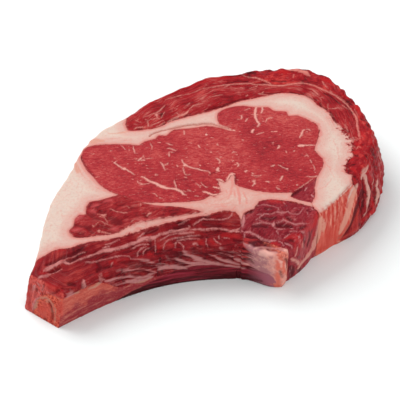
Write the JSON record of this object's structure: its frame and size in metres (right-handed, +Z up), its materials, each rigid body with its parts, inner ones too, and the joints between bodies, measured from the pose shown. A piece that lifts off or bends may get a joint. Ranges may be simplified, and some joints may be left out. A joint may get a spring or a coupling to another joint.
{
  "type": "bone-in ribeye steak",
  "caption": "Raw bone-in ribeye steak lying flat: marbled eye muscle, cap, fat seams, rib muscles and a curved sawn rib.",
  "frame": {"origin": "middle of the whole steak's box at its base, on the surface it lies on", "axes": "+X along the steak away from the rib's sawn end, +Y from the rib side to the fat cover, +Z up out of the upper cut face"},
  "size_m": [0.2288, 0.1354, 0.0356],
  "materials": {
    "lean": "moist, satin, pale flecks of marbling",
    "dark_lean": "moist, satin, darker, with a web of pale lines",
    "rib_lean": "moist, satin, pale fibre lines and fascia",
    "fat": "waxy, satin",
    "bone": "scraped, partly under a thin moist membrane, red marrow at the sawn end"
  },
  "bodies": {
    "root": {"eye_muscle": "lean", "cap_muscle": "lean", "outer_cap_muscle": "lean", "edge_cap_muscle": "lean", "side_muscle": "lean", "corner_muscle": "dark_lean", "chine_muscle": "dark_lean", "upper_rib_muscle": "rib_lean", "lower_rib_muscle": "rib_lean", "cover_fat": "fat", "seam_fat": "fat", "kernel_fat": "fat", "rib_bone": "bone", "chine_bone": "bone"}
  },
  "joints": []
}
